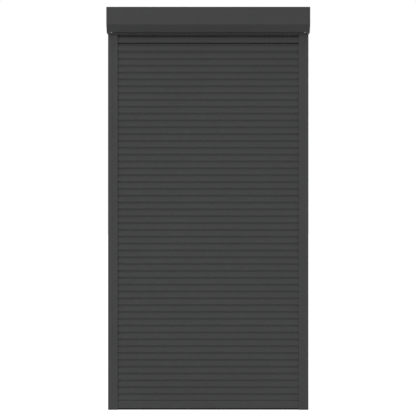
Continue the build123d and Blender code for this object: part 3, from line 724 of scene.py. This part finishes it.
# Bottom bar: a flat aluminium extrusion with the slats' hook on top, closed at its ends by plastic
# guides that run in the rails, and a ribbed rubber seal pushed into its foot.
bar_colour = (0.053, 0.0536, 0.0547, 1)
rubber_colour = (0.018, 0.018, 0.018, 1)
bar_foot, bar_top = 8 * mm, 49.2 * mm
groove_half, groove_top = 1.2 * mm, bar_foot + 3.2 * mm
foot_edge, top_edge, joint_edge, mouth_edge, groove_edge = 0.8 * mm, 1.2 * mm, 0.3 * mm, 0.3 * mm, 0.2 * mm
first_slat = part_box("slats_18")[0].z
seal_half, seal_low, seal_high = 3.4 * mm, 0.0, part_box("bottom_seal")[1].z
rib_tops, rib_half, rib_depth = (2.2 * mm, 4.2 * mm, 6.2 * mm), 0.5 * mm, 0.45 * mm
hollow_half, hollow_height, toe_half, stem_half = 0.8 * mm, 1.6 * mm, 1.4 * mm, 1.1 * mm
seal_edge = 0.15 * mm
guide_out, guide_low_z, guide_high_z, guide_thick = 8 * mm, 10 * mm, 48 * mm, 11 * mm
guide_edge, guide_overlap = 1.2 * mm, 1 * mm
leg_length, leg_half, leg_low, leg_high = 30 * mm, 2.4 * mm, bar_foot + 5.6 * mm, bar_foot + 21.9 * mm

bar_outline = rounded(
    [(slat_front, bar_foot), (slat_front, bar_top), (neck_front, bar_top), *hook_points(first_slat),
     (slat_back, bar_foot), (curtain_y + groove_half, bar_foot), (curtain_y + groove_half, groove_top),
     (curtain_y - groove_half, groove_top), (curtain_y - groove_half, bar_foot)],
    [foot_edge, top_edge, joint_edge, *hook_radii, foot_edge, mouth_edge, groove_edge, groove_edge,
     mouth_edge], 3)
bar = piece("bottom_bar_piece", [closed_skin([along_x(bar_outline, x) for x in (-slat_half, slat_half)])],
            powder_coat("bar_powder_coat", bar_colour, slat_grain))
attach(bar, "bottom_bar")
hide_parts("bottom_bar")


def seal_outline():
    """The seal's section: two soft feet with a hollow between them, three ribs on each side and the stem."""
    side = [(curtain_y - seal_half + depth, seal_low + top + up) for top in rib_tops
            for up, depth in ((-rib_half, 0), (0, rib_depth), (rib_half, 0))]
    front = [(curtain_y - hollow_half, hollow_height), (curtain_y - toe_half, seal_low),
             (curtain_y - seal_half, seal_low), *side, (curtain_y - seal_half, bar_foot),
             (curtain_y - stem_half, bar_foot), (curtain_y - stem_half, seal_high)]
    back = [(2 * curtain_y - y, z) for y, z in reversed(front)]
    return rounded([*front, *back], seal_edge, 2)


seal_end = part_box("bottom_seal")[1].x
rubber = moulded("black_rubber", rubber_colour, 0.02 * mm, (0.7, 0.85), 0.06, 500.0)
seal_skin = closed_skin([along_x(seal_outline(), x) for x in (-seal_end, seal_end)])
seal = piece("bottom_seal_piece", [seal_skin], rubber)
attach(seal, "bottom_bar")
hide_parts("bottom_seal")

guide_skins = [block_skin(slat_half, slat_half + guide_out, curtain_y - guide_thick / 2,
                          curtain_y + guide_thick / 2, guide_low_z, guide_high_z, guide_edge),
               block_skin(slat_half - leg_length, slat_half + guide_overlap, curtain_y - leg_half,
                          curtain_y + leg_half, leg_low, leg_high)]
guides = piece("bar_guides_piece", [*guide_skins, *map(flipped, guide_skins)], lock_finish)
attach(guides, "bottom_bar")
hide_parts("bar_end_guides")

# Feet and funnels: dull black plastic mouldings. A foot closes each rail below with a plug in its hollow,
# and a funnel on each rail's top leads the curtain from the shaft into the slot.
foot_colour = (0.024, 0.0242, 0.0245, 1)
foot_finish = moulded("foot_moulding", foot_colour, specular=0.08)
foot_high, foot_clearance = 6 * mm, 0.4 * mm
foot_plug_sunk, foot_plug_high = 1 * mm, 10 * mm
plug_inset = rail_wall + foot_clearance
foot_skin = block_skin(rail_low.x, rail_high.x, rail_low.y, rail_high.y, 0, foot_high)
plug_skin = block_skin(rail_low.x + channel_depth + chamber_web + foot_clearance, rail_high.x - plug_inset,
                       rail_low.y + plug_inset, rail_high.y - plug_inset, foot_high - foot_plug_sunk,
                       foot_high + foot_plug_high, plug_edge)


def dress(name, finish):
    """A node that stays as the CAD model has it gets its finish."""
    nodes[name].data.materials.clear()
    nodes[name].data.materials.append(finish)


for side, mirror in (("right", tuple), ("left", flipped)):
    foot = piece("rail_foot_piece_" + side, [mirror(foot_skin), mirror(plug_skin)], foot_finish)
    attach(foot, "shutter_frame")
    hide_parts("rail_foot_cap_" + side)
    dress("rail_funnel_" + side, lock_finish)

# Screws at the low front edge of the box: zinc-plated steel with a pan head and a cross recess. One at each
# end holds the cover to the cap's boss. The rivets and the screws of the bearing seats are of the same steel.
screw_colour = (0.32, 0.32, 0.325, 1)
screw_x, screw_z = boss_x, rail_top + cover_lip / 2
head_radius, head_out, stem_radius, stem_length = 2.8 * mm, 1.4 * mm, 1.5 * mm, 10 * mm
stem_out, recess_past, recess_edge = 0.1 * mm, 2 * mm, 0.05 * mm
arm, arm_half, recess = 1.6 * mm, 0.35 * mm, 0.8 * mm
metal_specular, tool_marks = 0.5, 0.004 * mm
metal_shades, metal_patches = (0.93, 1.05), 120.0


def turned_metal(name, colour, roughness=(0.25, 0.4), cells=(1500.0, 1500.0, 1500.0)):
    """Bare metal with fine tool marks that vary its gloss."""
    material, tree, shader, place = new_finish(name, metal_specular, 1.0)
    patches = grain(tree, place, metal_patches)
    base = mixed(tree, patches, *[shaded(colour, factor) for factor in metal_shades])
    tree.links.new(base, shader.inputs["Base Color"])
    tree.links.new(between(tree, grain(tree, place, cells), *roughness), shader.inputs["Roughness"])
    relief(tree, shader, grain(tree, place, cells), tool_marks)
    return material


def circle_y(radius, y, x, z, sides=28):
    """A circle round an axis along Y: x + radius cos a, z + radius sin a."""
    turn = np.linspace(0, 2 * pi, sides, endpoint=False)
    return np.c_[x + radius * np.cos(turn), np.full(sides, y), z + radius * np.sin(turn)]


zinc = turned_metal("zinc_plated_steel", screw_colour)
dome = np.linspace(0, pi / 2, 6)[:-1]
head = closed_skin([circle_y(head_radius * np.cos(angle), lip_y - head_out * np.sin(angle), screw_x, screw_z)
                    for angle in dome])
stem = closed_skin([circle_y(stem_radius, y, screw_x, screw_z)
                    for y in (lip_y - stem_out, lip_y + stem_length)])
cross = [block_skin(screw_x - a, screw_x + a, lip_y - recess_past, lip_y - head_out + recess,
                    screw_z - b, screw_z + b, recess_edge) for a, b in ((arm, arm_half), (arm_half, arm))]
screws = piece("cover_screws_piece", [head, stem, *map(flipped, (head, stem))], zinc)
cut(screws, [*cross, *map(flipped, cross)])
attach(screws, "shutter_frame")
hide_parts("cover_screws")
for node in ("seat_screws", "panel_rivets"):
    dress(node, zinc)

# Seals in the rails and at the inlet: thin strips of extruded black rubber, pushed endwise into their
# grooves. The curtain runs between them.
strip_rubber = moulded("strip_rubber", shaded(rubber_colour, 1.3), 0.015 * mm, (0.55, 0.7), 0.3)
for node in ("inlet_seal", "rail_seal_front_left", "rail_seal_front_right", "rail_seal_rear_left",
             "rail_seal_rear_right"):
    dress(node, strip_rubber)

# Inside the box: a galvanised octagonal tube with plastic plugs, sealed bearings in plastic seats that are
# screwed to the caps, spring-steel hangers, and the strap's pulley, guide box and two small rollers.
spangles_per_metre, spangle_shades, spangle_roughness = 95.0, (0.8, 1.1), (0.28, 0.5)
roller_colour = (0.62, 0.61, 0.58, 1)
ring_marks, spring_marks = (900.0, 2500.0, 2500.0), (60.0, 2500.0, 2500.0)


def galvanised(name, colour):
    """Zinc spangle: flat crystals of about 10 mm with their own shade and gloss."""
    material, tree, shader, place = new_finish(name, metal_specular, 1.0)
    cells = tree.nodes.new("ShaderNodeTexVoronoi")
    cells.inputs["Scale"].default_value = spangles_per_metre
    tree.links.new(place, cells.inputs["Vector"])
    split = tree.nodes.new("ShaderNodeSeparateColor")
    tree.links.new(cells.outputs["Color"], split.inputs[0])
    base = mixed(tree, split.outputs[0], *[shaded(colour, factor) for factor in spangle_shades])
    tree.links.new(base, shader.inputs["Base Color"])
    tree.links.new(between(tree, split.outputs[1], *spangle_roughness), shader.inputs["Roughness"])
    return material


inside = {
    "roller_shaft": galvanised("galvanised_steel", (0.56, 0.57, 0.58, 1)),
    "bearing_inner_rings": turned_metal("ground_bearing_steel", (0.66, 0.66, 0.67, 1), (0.12, 0.22)),
    "bearing_outer_rings": turned_metal("bearing_shields", (0.55, 0.55, 0.56, 1), (0.2, 0.3), ring_marks),
    "curtain_hangers": turned_metal("blued_spring_steel", (0.2, 0.215, 0.25, 1), (0.3, 0.42), spring_marks),
    "shaft_plugs": moulded("grey_nylon", (0.13, 0.13, 0.135, 1)),
    "bearing_seats": moulded("seat_nylon", (0.1, 0.1, 0.105, 1)),
    "strap_pulley": moulded("white_nylon", (0.6, 0.59, 0.56, 1)),
    "strap_guide_box": lock_finish,
    "strap_roller_upper": moulded("roller_nylon", roller_colour),
    "strap_roller_lower": moulded("roller_nylon_lower", roller_colour),
}
for node, finish in inside.items():
    dress(node, finish)
